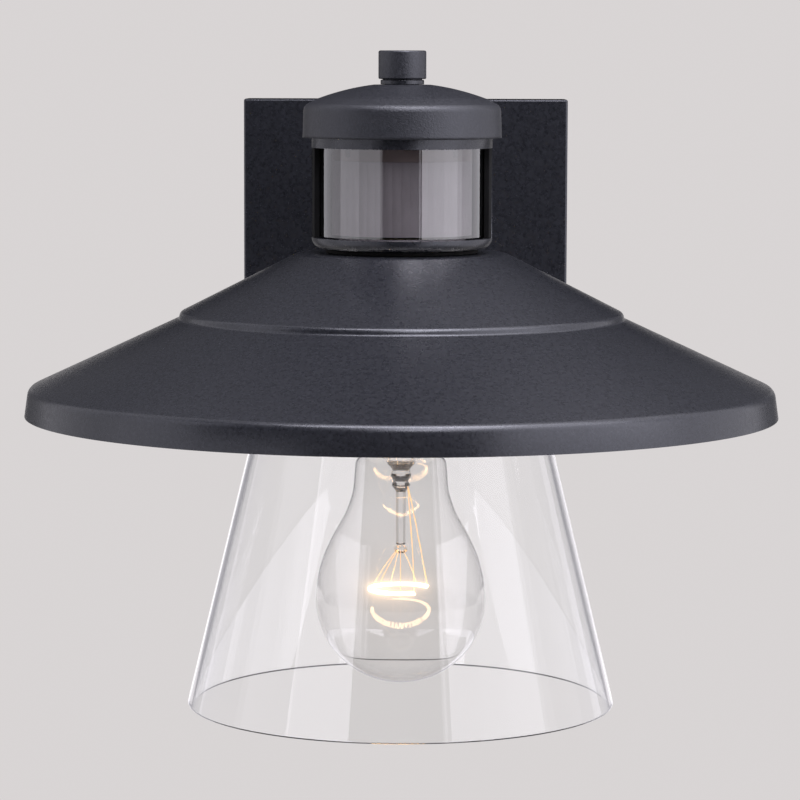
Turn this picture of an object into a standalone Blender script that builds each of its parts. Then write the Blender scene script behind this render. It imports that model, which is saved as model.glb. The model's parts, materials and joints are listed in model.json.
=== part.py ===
"""Outdoor wall lantern: square back plate, straight arm, motion-sensor head, stepped metal
shade, clear tapered glass and a filament bulb.

Metres, +Z up. The origin is the centre of the back plate, on the wall. The wall is on the +Y
side and the lantern stands out along -Y. The lamp axis is vertical. Every helper takes
millimetres and scales them by MM.
"""

import math

import bmesh
import bpy

MM = 0.001
GAP = 0.3  # between pieces that touch

# Overall layout
AXIS_Y = -164.0  # lamp axis, out from the wall
SHADE_R = 133.35  # shade rim, a 10.5 inch shade
SHADE_RIM_Z = -45.6
SHADE_TOP_Z = 11.4
SHADE_SHEET = 1.0

# Wall side
PLATE_SIDE = 128.0
PLATE_FRONT = 24.0
PLATE_WALL = 2.0
GASKET_T = 2.0
BRACKET_T = 1.6
STUD_Z = 50.0
STUD_R = 2.0

# Arm
ARM_Z = 29.0
ARM_W, ARM_H = 30.0, 26.0
CHANNEL_W, CHANNEL_H = 15.0, 19.0
ARM_SCREW_X = 11.2
ARM_SCREW_R = 1.5
SCREW_HOLE_R = 1.9

# Sensor head
HEAD_R = 31.9
HEAD_WALL = 2.0
HEAD_FLOOR_Z, HEAD_TOP_Z = 13.0, 55.0
FLOOR_T = 2.5
WINDOW_LOW_Z, WINDOW_HIGH_Z = 16.9, 48.0
PAD_OUT = 34.0  # the flat pad for the arm, behind the lamp axis
PAD_IN = 25.0
LENS_R, LENS_WALL = 29.6, 2.0
BOARD_T = 1.6
SENSOR_BOARD_Y = -10.8
POWER_BOARD_Y = 8.8

# Controls under the cap
DECK_R, DECK_LOW_Z, DECK_HIGH_Z = 29.5, 51.0, 53.5
SWITCH_Y = -14.0
SWITCH_XS = (-13.0, 0.0, 13.0)
SWITCH_TRAVEL = 7.0
SLOT_LENGTH, SLOT_WIDTH = 10.8, 2.8
SLIDER_LENGTH, SLIDER_WIDTH = 3.2, 2.0
CENTRE_STUD_R = 2.5

# Cap and knob
CAP_RIM_Z = 52.2
CAP_WALL = 1.5
KNOB_R, KNOB_LOW_Z, KNOB_HIGH_Z = 8.44, 72.6, 82.6

# Socket and glass
NIPPLE_R, NIPPLE_BORE_R = 5.0, 3.3
NIPPLE_HOLE_R = 5.5
SOCKET_R = 20.0
GLASS_TOP_Z, GLASS_MOUTH_Z = -28.0, -149.6
GLASS_TOP_R, GLASS_MOUTH_R = 46.8, 76.3
GLASS_WALL = 2.0

# Bulb: A19 envelope on an E26 base
BULB_R, BULB_Z = 30.5, -112.0
BULB_WALL = 0.8
BASE_R = 13.1
FILAMENT_R, FILAMENT_Z = 11.0, -109.0
FILAMENT_WIRE_R = 0.5
FILAMENT_START, FILAMENT_SPAN = 30.0, 267.0  # degrees from +X, open towards the right
SUPPORTS = 5

FINISHES = {  # colour, roughness, metallic, transmission
    "black_paint": ((0.018, 0.020, 0.026), 0.55, 0.0, 0.0),
    "black_plastic": ((0.015, 0.015, 0.017), 0.50, 0.0, 0.0),
    "smoked_lens": ((0.020, 0.016, 0.014), 0.06, 0.0, 0.0),
    "milky_lens": ((0.70, 0.70, 0.68), 0.35, 0.0, 0.5),
    "clear_glass": ((1.0, 1.0, 1.0), 0.0, 0.0, 1.0),
    "zinc": ((0.62, 0.63, 0.65), 0.35, 1.0, 0.0),
    "brass": ((0.80, 0.60, 0.30), 0.30, 1.0, 0.0),
    "nickel": ((0.75, 0.74, 0.72), 0.25, 1.0, 0.0),
    "porcelain": ((0.82, 0.81, 0.78), 0.25, 0.0, 0.0),
    "rubber": ((0.020, 0.020, 0.020), 0.80, 0.0, 0.0),
    "foam": ((0.05, 0.05, 0.05), 0.95, 0.0, 0.0),
    "circuit_board": ((0.05, 0.20, 0.09), 0.45, 0.0, 0.0),
    "component_black": ((0.03, 0.03, 0.03), 0.40, 0.0, 0.0),
    "component_blue": ((0.05, 0.12, 0.40), 0.35, 0.0, 0.0),
    "white_plastic": ((0.80, 0.80, 0.78), 0.45, 0.0, 0.0),
    "green_screw": ((0.05, 0.30, 0.10), 0.35, 0.8, 0.0),
    "black_wire": ((0.02, 0.02, 0.02), 0.50, 0.0, 0.0),
    "white_wire": ((0.80, 0.80, 0.78), 0.50, 0.0, 0.0),
    "hot_filament": ((1.0, 0.70, 0.35), 0.50, 0.0, 0.0),
    "lamp_insulator": ((0.02, 0.02, 0.025), 0.15, 0.0, 0.0),
}


# ---------------------------------------------------------------- helpers


def clear_scene():
    for obj in list(bpy.data.objects):
        bpy.data.objects.remove(obj, do_unlink=True)


def new_collection(name):
    collection = bpy.data.collections.new(name)
    bpy.context.scene.collection.children.link(collection)
    return collection


def material_for(finish):
    found = bpy.data.materials.get(finish)
    if found:
        return found
    colour, roughness, metallic, transmission = FINISHES[finish]
    material = bpy.data.materials.new(finish)
    material.use_nodes = True
    shader = material.node_tree.nodes["Principled BSDF"]
    shader.inputs["Base Color"].default_value = (*colour, 1.0)
    shader.inputs["Roughness"].default_value = roughness
    shader.inputs["Metallic"].default_value = metallic
    shader.inputs["Transmission Weight"].default_value = transmission
    material.diffuse_color = (*colour, 1.0)
    return material


def placed(name, data, at, rotation, finish):
    """Links new object data as a part, or as a cutter when it has no finish."""
    obj = bpy.data.objects.new(name, data)
    obj.location = [value * MM for value in at]
    obj.rotation_euler = rotation
    if finish is None:
        CUTTERS.objects.link(obj)
        obj.hide_render = True
        obj.display_type = "WIRE"
    else:
        PARTS.objects.link(obj)
        data.materials.append(material_for(finish))
    return obj


ON_AXIS = (0.0, AXIS_Y, 0.0)
UPRIGHT = (0.0, 0.0, 0.0)
OUTWARD = (math.pi / 2, 0.0, 0.0)  # local +Z becomes -Y, out from the wall
INWARD = (-math.pi / 2, 0.0, 0.0)  # local +Z becomes +Y, towards the wall


def spun(name, outline, finish, loop=False, steps=24, at=ON_AXIS, rotation=UPRIGHT):
    """A turned shape. The outline is (radius, height) points, down the outer side."""
    mesh = bpy.data.meshes.new(name)
    points = [(r * MM, 0.0, z * MM) for r, z in outline]
    edges = [(i, i + 1) for i in range(len(points) - 1)]
    if loop:
        edges.append((len(points) - 1, 0))
    mesh.from_pydata(points, edges, [])
    obj = placed(name, mesh, at, rotation, finish)
    screw = obj.modifiers.new("Turn", "SCREW")
    screw.axis = "Z"
    screw.steps = steps
    screw.render_steps = steps
    screw.use_merge_vertices = True
    screw.merge_threshold = 0.00005
    screw.use_normal_calculate = False
    return obj


def ring(name, outer, inner, low, high, finish, **options):
    outline = [(outer, high), (outer, low), (inner, low), (inner, high)]
    return spun(name, outline, finish, loop=True, **options)


def disc(name, radius, low, high, finish, **options):
    outline = [(0.0, high), (radius, high), (radius, low), (0.0, low)]
    return spun(name, outline, finish, **options)


def shell(name, outline, wall, finish, **options):
    """A turned sheet: the outline is its outer face and the wall goes inwards."""
    obj = spun(name, outline, finish, **options)
    solidify = obj.modifiers.new("Wall", "SOLIDIFY")
    solidify.thickness = wall * MM
    solidify.offset = -1.0
    solidify.use_even_offset = True
    return obj


def box(name, size, at, finish, bevel=0.0, segments=2):
    mesh = bpy.data.meshes.new(name)
    shape = bmesh.new()
    bmesh.ops.create_cube(shape, size=1.0)
    bmesh.ops.scale(shape, vec=[side * MM for side in size], verts=shape.verts)
    shape.to_mesh(mesh)
    shape.free()
    obj = placed(name, mesh, at, UPRIGHT, finish)
    if bevel:
        rounding = obj.modifiers.new("Edges", "BEVEL")
        rounding.width = bevel * MM
        rounding.segments = segments
        rounding.limit_method = "ANGLE"
    return obj


def tube(name, points, radius, finish):
    curve = bpy.data.curves.new(name, "CURVE")
    curve.dimensions = "3D"
    curve.bevel_depth = radius * MM
    curve.bevel_resolution = 2
    curve.use_fill_caps = True
    spline = curve.splines.new("POLY")
    spline.points.add(len(points) - 1)
    for point, (x, y, z) in zip(spline.points, points):
        point.co = (x * MM, y * MM, z * MM, 1.0)
    return placed(name, curve, ON_AXIS, UPRIGHT, finish)


def combine(target, other, operation):
    boolean = target.modifiers.new(operation.title(), "BOOLEAN")
    boolean.operation = operation
    boolean.solver = "EXACT"
    boolean.object = other


def cut(target, *cutters):
    for cutter in cutters:
        combine(target, cutter, "DIFFERENCE")


def join(target, *others):
    for other in others:
        combine(target, other, "UNION")


def drill(target, radius, low, high, at, rotation, steps=16):
    """Cuts a round hole from low to high along its own axis."""
    name = f"cut_{target.name}_{len(target.modifiers)}"
    cutter = disc(name, radius, low, high, None, at=at, rotation=rotation, steps=steps)
    cut(target, cutter)


def mill(target, size, at, bevel=0.0):
    """Cuts a box-shaped pocket."""
    name = f"cut_{target.name}_{len(target.modifiers)}"
    cut(target, box(name, size, at, None, bevel=bevel, segments=3))


def arc(centre_r, centre_z, radius, start, end, count=4):
    """Outline points on an arc. Angles in degrees: 0 is outwards and 90 is up."""
    turns = [math.radians(start + (end - start) * i / count) for i in range(count + 1)]
    return [(centre_r + radius * math.cos(a), centre_z + radius * math.sin(a)) for a in turns]


def pan_head_screw(name, head_start, length, at, rotation, finish):
    """A screw whose head starts at head_start and whose tip points along local +Z."""
    head_r, head_t = 2 * ARM_SCREW_R, 2.2
    shoulder = head_start + head_t
    outline = [
        (0.0, shoulder + length),
        (ARM_SCREW_R, shoulder + length - 1.0),
        (ARM_SCREW_R, shoulder),
        (head_r, shoulder),
        (head_r, head_start + 0.8),
        (head_r - 0.8, head_start),
        (0.0, head_start),
    ]
    return spun(name, outline, finish, steps=12, at=at, rotation=rotation)


# ---------------------------------------------------------------- wall side


def make_wall_gasket():
    side = PLATE_SIDE - 1.0
    at = (0.0, -GASKET_T / 2, 0.0)
    gasket = box("wall_gasket", (side, GASKET_T, side), at, "foam")
    mill(gasket, (PLATE_SIDE - 9.0, 3 * GASKET_T, PLATE_SIDE - 9.0), at)


def make_back_plate():
    rear = GASKET_T + GAP
    depth = PLATE_FRONT - rear
    size = (PLATE_SIDE, depth, PLATE_SIDE)
    plate = box("back_plate", size, (0.0, -rear - depth / 2, 0.0), "black_paint", bevel=0.9)
    inside = PLATE_SIDE - 2 * PLATE_WALL
    inner_front = PLATE_FRONT - PLATE_WALL
    mill(plate, (inside, inner_front, inside), (0.0, -inner_front / 2, 0.0))
    near, far = inner_front - 2.0, PLATE_FRONT + 2.0
    drill(plate, 6.0, near, far, (0.0, 0.0, ARM_Z), OUTWARD)
    for z in (STUD_Z, -STUD_Z):
        drill(plate, 2.6, near, far, (0.0, 0.0, z), OUTWARD)
    for x in (-ARM_SCREW_X, ARM_SCREW_X):
        drill(plate, SCREW_HOLE_R, near, far, (x, 0.0, ARM_Z), OUTWARD)


def make_mounting_bracket():
    at = (0.0, -BRACKET_T / 2, 0.0)
    strap = box("mounting_bracket", (22.0, BRACKET_T, 112.0), at, "zinc")
    for z in (STUD_Z, -STUD_Z):
        drill(strap, 2.3, -2.0, 4.0, (0.0, 0.0, z), OUTWARD)
    for z in (32.0, -32.0):
        mill(strap, (5.0, 14.0, 16.0), (0.0, -BRACKET_T / 2, z), bevel=2.2)
    drill(strap, SCREW_HOLE_R, -2.0, 4.0, (6.5, 0.0, -16.0), OUTWARD)


def make_wall_fasteners():
    for place, z in (("upper", STUD_Z), ("lower", -STUD_Z)):
        there = {"at": (0.0, 0.0, z), "rotation": OUTWARD}
        disc(f"mounting_stud_{place}", STUD_R, 0.2, 31.0, "zinc", steps=12, **there)
        ring(f"stud_nut_{place}", 4.6, 2.7, 2.0, 5.0, "zinc", steps=6, **there)
        nut = disc(f"cap_nut_{place}", 5.0, 24.3, 29.0, "nickel", steps=6, **there)
        dome_outline = arc(0.0, 28.5, 4.2, 90.0, 0.0) + [(4.2, 26.0), (0.0, 26.0)]
        dome = spun(f"dome_{place}", dome_outline, None, steps=12, **there)
        join(nut, dome)
        drill(nut, 2.4, 20.0, 31.5, **there)
    at = (6.5, 0.0, -16.0)
    pan_head_screw("ground_screw", -4.2, 1.6, at, INWARD, "green_screw")


def make_wire_grommet():
    front = PLATE_FRONT
    inner = PLATE_FRONT - PLATE_WALL - GAP
    outline = [
        (5.6, front),
        (5.6, inner),
        (7.5, inner),
        (7.5, inner - 2.0),
        (3.6, inner - 2.0),
        (3.6, front),
    ]
    at = (0.0, 0.0, ARM_Z)
    spun("wire_grommet", outline, "rubber", loop=True, steps=16, at=at, rotation=OUTWARD)


# ---------------------------------------------------------------- arm


def make_arm():
    rear = PLATE_FRONT + GAP
    front = -AXIS_Y - PAD_OUT - GAP
    length = front - rear
    at = (0.0, -(front + rear) / 2, ARM_Z)
    arm = box("arm", (ARM_W, length, ARM_H), at, "black_paint", bevel=3.0)
    mill(arm, (CHANNEL_W, length + 4.0, CHANNEL_H), at)
    for x in (-ARM_SCREW_X, ARM_SCREW_X):
        drill(arm, SCREW_HOLE_R, rear - 2.0, rear + 14.0, (x, 0.0, ARM_Z), OUTWARD)
        drill(arm, SCREW_HOLE_R, front - 14.0, front + 2.0, (x, 0.0, ARM_Z), OUTWARD)


def make_arm_screws():
    plate_inside = PLATE_FRONT - PLATE_WALL - GAP
    for side, x in (("left", -ARM_SCREW_X), ("right", ARM_SCREW_X)):
        rear_at = (x, 0.0, ARM_Z)
        head = plate_inside - 2.2
        pan_head_screw(f"arm_screw_rear_{side}", head, 14.0, rear_at, OUTWARD, "zinc")
        front_at = (x, AXIS_Y, ARM_Z)
        head = PAD_IN - GAP - 2.2
        pan_head_screw(f"arm_screw_front_{side}", head, 20.0, front_at, INWARD, "zinc")


# ---------------------------------------------------------------- sensor head


def make_sensor_housing():
    bore = HEAD_R - HEAD_WALL
    floor_top = HEAD_FLOOR_Z + FLOOR_T
    rounded = arc(HEAD_R - 2.5, HEAD_FLOOR_Z + 2.5, 2.5, 0.0, -90.0)
    outline = [
        (HEAD_R, HEAD_TOP_Z),
        *rounded,
        (NIPPLE_HOLE_R, HEAD_FLOOR_Z),
        (NIPPLE_HOLE_R, floor_top),
        (bore, floor_top),
        (bore, HEAD_TOP_Z),
    ]
    housing = spun("sensor_housing", outline, "black_paint", loop=True, steps=48)
    pad_y = AXIS_Y + (PAD_IN + PAD_OUT) / 2
    pad_size = (ARM_W + 4.0, PAD_OUT - PAD_IN, ARM_H + 4.0)
    join(housing, box("pad", pad_size, (0.0, pad_y, ARM_Z), None, bevel=1.0))
    height = WINDOW_HIGH_Z - WINDOW_LOW_Z
    middle = (WINDOW_HIGH_Z + WINDOW_LOW_Z) / 2
    mill(housing, (80.0, 50.0, height), (0.0, AXIS_Y - 26.0, middle))
    drill(housing, 5.5, PAD_IN - 2.0, PAD_OUT + 2.0, (0.0, AXIS_Y, ARM_Z), INWARD)
    for x in (-ARM_SCREW_X, ARM_SCREW_X):
        at = (x, AXIS_Y, ARM_Z)
        drill(housing, SCREW_HOLE_R, PAD_IN - 2.0, PAD_OUT + 2.0, at, INWARD)


def make_lenses():
    low = HEAD_FLOOR_Z + FLOOR_T + GAP
    lens = ring("sensor_lens", LENS_R, LENS_R - LENS_WALL, low, 50.0, "smoked_lens", steps=48)
    mill(lens, (80.0, 60.0, 60.0), (0.0, AXIS_Y + 36.0, 32.0))
    fresnel = ring("fresnel_lens", 25.0, 24.2, 18.0, 42.0, "milky_lens", steps=32)
    mill(fresnel, (80.0, 60.0, 60.0), (0.0, AXIS_Y + 28.0, 32.0))


def make_electronics():
    sensor_at = (0.0, AXIS_Y + SENSOR_BOARD_Y, 30.5)
    board = box("sensor_board", (34.0, BOARD_T, 27.0), sensor_at, "circuit_board")
    chip_at = (0.5, AXIS_Y + SENSOR_BOARD_Y - 1.2, 21.0)
    join(board, box("chip", (12.0, 2.4, 6.4), chip_at, None))
    face = -SENSOR_BOARD_Y + BOARD_T / 2 + GAP
    can = {"at": (-0.5, AXIS_Y, 30.4), "rotation": OUTWARD}
    disc("pir_detector", 4.1, face, face + 4.0, "nickel", steps=24, **can)
    cell = {"at": (10.0, AXIS_Y, 37.0), "rotation": OUTWARD}
    disc("photocell", 2.5, face, face + 2.0, "component_black", steps=16, **cell)

    power_at = (0.0, AXIS_Y + POWER_BOARD_Y, 32.0)
    box("power_board", (40.0, BOARD_T, 26.0), power_at, "circuit_board")
    front = POWER_BOARD_Y - BOARD_T / 2 - GAP
    depth = 10.7
    relay_at = (-10.0, AXIS_Y + front - depth / 2, 30.0)
    box("relay", (13.0, depth, 15.0), relay_at, "component_blue", bevel=0.5, segments=1)
    can = {"at": (10.0, AXIS_Y, 29.0), "rotation": INWARD}
    disc("capacitor", 5.0, front - depth, front, "component_black", steps=20, **can)


# ---------------------------------------------------------------- controls under the cap


def make_controls():
    deck = disc("control_deck", DECK_R, DECK_LOW_Z, DECK_HIGH_Z, "black_plastic", steps=32)
    drill(deck, CENTRE_STUD_R + GAP, 40.0, 60.0, ON_AXIS, UPRIGHT)
    block_low, block_high = 45.5, DECK_LOW_Z - GAP
    height = block_high - block_low
    middle = (block_high + block_low) / 2
    span = SWITCH_XS[-1] - SWITCH_XS[0] + 12.0
    y = AXIS_Y + SWITCH_Y
    block = box("switch_block", (span, 7.0, height), (0.0, y, middle), "component_black")
    slider_low, slider_high = 47.6, 56.4
    for label, x in zip(("time", "dim", "range"), SWITCH_XS):
        mill(deck, (SLOT_LENGTH, SLOT_WIDTH, 8.0), (x, y, DECK_LOW_Z))
        mill(block, (SLOT_LENGTH, SLOT_WIDTH, 8.0), (x, y, 47.2 + 4.0))
        size = (SLIDER_LENGTH, SLIDER_WIDTH, slider_high - slider_low)
        at = (x - SWITCH_TRAVEL / 2, y, (slider_low + slider_high) / 2)
        box(f"{label}_slider", size, at, "white_plastic", bevel=0.3, segments=1)


def make_centre_stud():
    outline = [
        (0.0, 80.2),
        (CENTRE_STUD_R, 79.6),
        (CENTRE_STUD_R, 56.5),
        (4.8, 56.5),
        (4.8, DECK_HIGH_Z + GAP),
        (CENTRE_STUD_R, DECK_HIGH_Z + GAP),
        (CENTRE_STUD_R, 46.0),
        (0.0, 46.0),
    ]
    spun("centre_stud", outline, "zinc", steps=16)
    ring("centre_stud_nut", 5.2, 3.3, 47.2, DECK_LOW_Z - GAP, "zinc", steps=6)


# ---------------------------------------------------------------- cap and knob


def make_cap():
    outline = [
        (3.2, 70.7),
        (11.7, 70.4),
        (18.1, 69.2),
        (23.0, 67.9),
        (26.75, 66.8),
        (29.4, 65.8),
        (32.8, 63.7),
        (34.6, 61.2),
        (35.25, CAP_RIM_Z),
    ]
    shell("sensor_cap", outline, CAP_WALL, "black_paint", steps=32)
    ring("cap_seal", 33.2, 30.0, HEAD_TOP_Z + GAP, 57.5, "rubber", steps=32)
    ring("finial_washer", 7.7, 3.0, 71.0, KNOB_LOW_Z - GAP, "black_paint", steps=32)


def make_knob():
    edge = 0.9
    outline = [
        (0.0, KNOB_HIGH_Z),
        (KNOB_R - edge, KNOB_HIGH_Z),
        (KNOB_R, KNOB_HIGH_Z - edge),
        (KNOB_R, KNOB_LOW_Z + edge / 2),
        (KNOB_R - edge / 2, KNOB_LOW_Z),
        (CENTRE_STUD_R + GAP, KNOB_LOW_Z),
        (CENTRE_STUD_R + GAP, 80.6),
        (0.0, 80.6),
    ]
    spun("finial_knob", outline, "black_paint", steps=32)


# ---------------------------------------------------------------- shade and nipple


def make_shade():
    step_r, step_z, step_drop = 77.6, -9.4, 1.6
    lower_slope = 0.47
    lower_r, lower_z = step_r + 1.2, step_z - step_drop - 0.4
    shoulder_r = 129.5
    shoulder_z = lower_z - lower_slope * (shoulder_r - lower_r)
    outline = [
        (NIPPLE_HOLE_R, SHADE_TOP_Z),
        (36.6, SHADE_TOP_Z),
        (39.0, 10.0),
        (step_r, step_z),
        (step_r + 0.7, step_z - 0.6),
        (step_r + 0.8, step_z - step_drop),
        (lower_r + 0.2, lower_z),
        (shoulder_r, shoulder_z),
        (131.5, shoulder_z - 1.6),
        (132.4, shoulder_z - 4.2),
        (SHADE_R, SHADE_RIM_Z),
    ]
    shell("shade", outline, SHADE_SHEET, "black_paint", steps=48)
    gasket_low = SHADE_TOP_Z + GAP
    ring("shade_gasket", 27.0, NIPPLE_HOLE_R, gasket_low, HEAD_FLOOR_Z - GAP, "rubber", steps=32)


def make_nipple():
    floor_top = HEAD_FLOOR_Z + FLOOR_T
    ring("threaded_nipple", NIPPLE_R, NIPPLE_BORE_R, -3.0, 21.0, "brass", steps=16)
    ring("nipple_nut_top", 9.0, 6.2, floor_top + GAP, 19.0, "brass", steps=6)
    ring("nipple_nut_bottom", 9.0, 6.2, 5.0, 8.3, "brass", steps=6)


# ---------------------------------------------------------------- socket and glass


def make_socket():
    cup_top = SHADE_TOP_Z - SHADE_SHEET - GAP
    cup_r = 22.0
    cup_outline = [
        (NIPPLE_HOLE_R, cup_top),
        (cup_r - 1.6, cup_top),
        (cup_r, cup_top - 1.6),
        (cup_r, -24.0),
    ]
    shell("socket_cup", cup_outline, 1.2, "black_paint", steps=32)
    body_outline = [
        (SOCKET_R - 1.2, 2.0),
        (SOCKET_R, 0.8),
        (SOCKET_R, -42.0),
        (17.8, -44.0),
        (17.8, -56.0),
        (15.0, -56.0),
        (15.0, -29.4),
        (NIPPLE_HOLE_R, -29.4),
        (NIPPLE_HOLE_R, 2.0),
    ]
    spun("socket_body", body_outline, "porcelain", loop=True, steps=32)
    ring("socket_screw_shell", 14.6, 13.7, -54.0, -30.0, "brass", steps=32)
    disc("socket_centre_contact", 4.0, -32.1, -28.0, "brass", steps=16)
    ring("socket_ring", 26.0, SOCKET_R + GAP, -36.8, -30.5, "black_plastic", steps=32)
    ring("glass_seal", 25.0, SOCKET_R + 0.6, GLASS_TOP_Z + GAP, -24.3, "rubber", steps=32)


def make_glass():
    outline = [
        (SOCKET_R + 0.6, GLASS_TOP_Z),
        (GLASS_TOP_R - 3.0, GLASS_TOP_Z),
        (GLASS_TOP_R - 1.0, GLASS_TOP_Z - 0.7),
        (GLASS_TOP_R + 0.2, GLASS_TOP_Z - 2.4),
        (GLASS_MOUTH_R, GLASS_MOUTH_Z),
    ]
    shell("glass_shade", outline, GLASS_WALL, "clear_glass", steps=48)


# ---------------------------------------------------------------- bulb


def make_bulb_glass():
    neck = [
        (12.2, -56.5),
        (12.6, -59.0),
        (14.4, -61.0),
        (16.0, -64.0),
        (16.8, -68.0),
        (17.7, -75.6),
        (19.9, -81.6),
        (24.5, -89.9),
        (27.5, -96.1),
        (29.8, -104.0),
    ]
    globe = arc(0.0, BULB_Z, BULB_R, 0.0, -90.0, count=6)
    outline = neck + globe[:-1] + [(0.0, BULB_Z - BULB_R)]
    shell("bulb_glass", outline, BULB_WALL, "clear_glass", steps=24)


def make_bulb_base():
    sheet = 0.5
    outline = [
        (10.5, -36.0),
        (12.6, -36.2),
        (BASE_R, -37.2),
        (BASE_R, -56.0),
        (BASE_R + 0.4, -58.0),
        (BASE_R - 0.1, -58.3),
        (BASE_R - sheet, -56.0),
        (BASE_R - sheet, -37.6),
        (10.5, -36.8),
    ]
    spun("bulb_base", outline, "nickel", loop=True, steps=32)
    insulator = [(0.0, -34.2), (4.9, -34.2), (11.5, -35.6), (0.0, -35.6)]
    spun("bulb_insulator", insulator, "lamp_insulator", steps=24)
    disc("bulb_tip_contact", 4.8, -33.9, -32.5, "nickel", steps=20)


def make_bulb_mount():
    stem = [
        (0.0, -58.8),
        (9.0, -58.8),
        (8.0, -60.0),
        (3.6, -66.0),
        (3.6, -71.0),
        (1.8, -73.0),
        (1.8, -93.0),
        (0.0, -93.0),
    ]
    spun("bulb_stem", stem, "clear_glass", steps=20)
    button_z, button_r = -95.0, 1.7
    button = spun(
        "filament_supports",
        [(0.0, button_z + button_r)]
        + arc(0.0, button_z, button_r, 60.0, -60.0, count=4)
        + [(0.0, button_z - button_r)],
        "nickel",
        steps=12,
    )
    reach = FILAMENT_R - 1.2
    drop = button_z - FILAMENT_Z - 0.4
    for i in range(SUPPORTS):
        along = FILAMENT_START + FILAMENT_SPAN * (i + 0.5) / SUPPORTS
        turn = math.radians(along)
        length = math.hypot(reach, drop)
        rod = disc(f"support_{i}", 0.35, 0.0, length, None, steps=6)
        rod.location = (0.0, AXIS_Y * MM, button_z * MM)
        rod.rotation_euler = (0.0, math.pi - math.atan2(reach, drop), turn)
        join(button, rod)


def on_filament(share):
    """A point on the filament's ring: share 0 is its rear end and 1 its front end."""
    turn = math.radians(FILAMENT_START + FILAMENT_SPAN * share)
    return FILAMENT_R * math.cos(turn), FILAMENT_R * math.sin(turn)


def make_filament():
    count = 24
    points = [(*on_filament(i / count), FILAMENT_Z) for i in range(count + 1)]
    tube("filament", points, FILAMENT_WIRE_R, "hot_filament")
    end_z = FILAMENT_Z + FILAMENT_WIRE_R + 0.4
    for place, share, side_y in (("rear", 0.0, 2.6), ("front", 1.0, -2.6)):
        start = (4.6, side_y, -74.0)
        tube(f"bulb_lead_{place}", [start, (*on_filament(share), end_z)], 0.35, "nickel")


# ---------------------------------------------------------------- wiring


def make_wiring():
    board_face = POWER_BOARD_Y - BOARD_T / 2 - GAP
    for label, x in (("live", -1.5), ("neutral", 1.5)):
        route = [
            (x, board_face, 30.0),
            (x, 4.5, 29.2),
            (x, 1.5, 27.0),
            (x, 0.0, 23.5),
            (x, 0.0, -27.0),
        ]
        tube(f"{label}_lead", route, 1.0, "black_wire" if label == "live" else "white_wire")
    board_back = POWER_BOARD_Y + BOARD_T / 2 + GAP
    wall = -AXIS_Y
    cable = [
        (0.0, board_back, ARM_Z),
        (0.0, wall - 18.0, ARM_Z),
        (0.0, wall - 13.0, ARM_Z - 1.5),
        (0.0, wall - 9.5, ARM_Z - 5.0),
        (0.0, wall - 8.0, ARM_Z - 10.0),
        (0.0, wall - 8.0, ARM_Z - 22.0),
    ]
    tube("supply_cable", cable, 2.6, "black_wire")


clear_scene()
PARTS = new_collection("Outdoor_Wall_Lantern")
CUTTERS = new_collection("Cutters")

make_wall_gasket()
make_back_plate()
make_mounting_bracket()
make_wall_fasteners()
make_wire_grommet()
make_arm()
make_arm_screws()
make_sensor_housing()
make_lenses()
make_electronics()
make_controls()
make_centre_stud()
make_cap()
make_knob()
make_shade()
make_nipple()
make_socket()
make_glass()
make_bulb_glass()
make_bulb_base()
make_bulb_mount()
make_filament()
make_wiring()
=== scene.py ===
"""Looks of the outdoor wall lantern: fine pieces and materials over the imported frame.

Outlines and sizes are in millimetres, and heights hang on the frame's own boxes. MM turns them
into metres where a mesh is made.
"""

import json
import math

import bmesh
import bpy
from mathutils import Matrix, Vector


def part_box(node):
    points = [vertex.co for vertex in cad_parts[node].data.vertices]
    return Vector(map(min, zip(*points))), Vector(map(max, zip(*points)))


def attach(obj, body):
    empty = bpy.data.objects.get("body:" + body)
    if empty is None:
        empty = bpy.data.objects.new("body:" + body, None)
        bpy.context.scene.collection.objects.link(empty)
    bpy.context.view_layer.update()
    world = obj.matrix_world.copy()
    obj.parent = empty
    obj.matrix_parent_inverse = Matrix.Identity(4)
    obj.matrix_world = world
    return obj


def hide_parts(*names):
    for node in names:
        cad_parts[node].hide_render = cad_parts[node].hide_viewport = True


MM = 0.001
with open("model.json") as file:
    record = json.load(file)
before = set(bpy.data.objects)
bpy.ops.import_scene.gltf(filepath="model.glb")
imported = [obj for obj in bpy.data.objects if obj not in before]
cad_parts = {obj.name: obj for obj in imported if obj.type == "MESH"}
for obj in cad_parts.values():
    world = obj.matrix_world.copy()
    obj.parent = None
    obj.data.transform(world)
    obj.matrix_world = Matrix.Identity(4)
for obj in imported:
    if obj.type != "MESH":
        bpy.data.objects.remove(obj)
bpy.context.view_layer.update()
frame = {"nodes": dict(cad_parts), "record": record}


def extent(node):
    """Lowest and highest corner of a CAD node, in millimetres."""
    low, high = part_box(node)
    return low / MM, high / MM


SHADE_LOW, SHADE_HIGH = extent("shade")
AXIS_Y = (SHADE_LOW.y + SHADE_HIGH.y) / 2
CAP_LOW, CAP_HIGH = extent("sensor_cap")
KNOB_LOW, KNOB_HIGH = extent("finial_knob")
WASHER_HIGH = extent("finial_washer")[1]
HEAD_LOW, HEAD_HIGH = extent("sensor_housing")
LENS_LOW, LENS_HIGH = extent("sensor_lens")
GLASS_LOW, GLASS_HIGH = extent("glass_shade")
BULB_LOW, BULB_HIGH = extent("bulb_glass")
BASE_LOW, BASE_HIGH = extent("bulb_base")
STEM_LOW, STEM_HIGH = extent("bulb_stem")
FILAMENT_LOW, FILAMENT_HIGH = extent("filament")
PLATE_LOW, PLATE_HIGH = extent("back_plate")
ARM_LOW, ARM_HIGH = extent("arm")
CUP_LOW, CUP_HIGH = extent("socket_cup")
ON_AXIS = (0.0, AXIS_Y, 0.0)

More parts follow.
